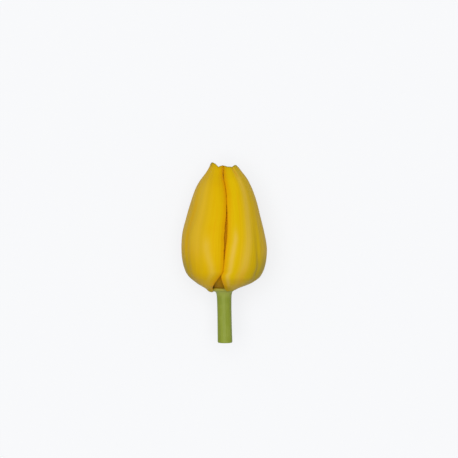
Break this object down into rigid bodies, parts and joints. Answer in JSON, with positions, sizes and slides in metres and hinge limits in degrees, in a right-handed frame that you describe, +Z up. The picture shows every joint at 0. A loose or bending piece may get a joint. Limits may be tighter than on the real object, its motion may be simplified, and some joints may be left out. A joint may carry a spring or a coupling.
{
  "type": "tulip",
  "caption": "Closed yellow tulip flower on a short cut green stem, lying on its back, with separate petals, stamens and pistil.",
  "frame": {"origin": "centre of the footprint, on the surface that the flower lies on", "axes": "+Y along the flower's axis from the cut end of the stem to the petals' tips, +Z up, away from the surface, through the seam between the two front petals"},
  "size_m": [0.0394, 0.083, 0.0375],
  "materials": {
    "petal_yellow": "satin",
    "inner_petal_yellow": "satin",
    "stem_green": "satin",
    "filament_cream": "satin",
    "pollen_yellow": "matte",
    "pistil_green": "satin"
  },
  "bodies": {
    "root": {"stem": "stem_green", "outer_tepal_left": "petal_yellow", "outer_tepal_right": "petal_yellow", "outer_tepal_back": "petal_yellow", "inner_tepal_front": "inner_petal_yellow", "inner_tepal_back_left": "inner_petal_yellow", "inner_tepal_back_right": "inner_petal_yellow", "filament_1": "filament_cream", "filament_2": "filament_cream", "filament_3": "filament_cream", "filament_4": "filament_cream", "filament_5": "filament_cream", "filament_6": "filament_cream", "anther_1": "pollen_yellow", "anther_2": "pollen_yellow", "anther_3": "pollen_yellow", "anther_4": "pollen_yellow", "anther_5": "pollen_yellow", "anther_6": "pollen_yellow", "pistil": "pistil_green"}
  },
  "joints": []
}
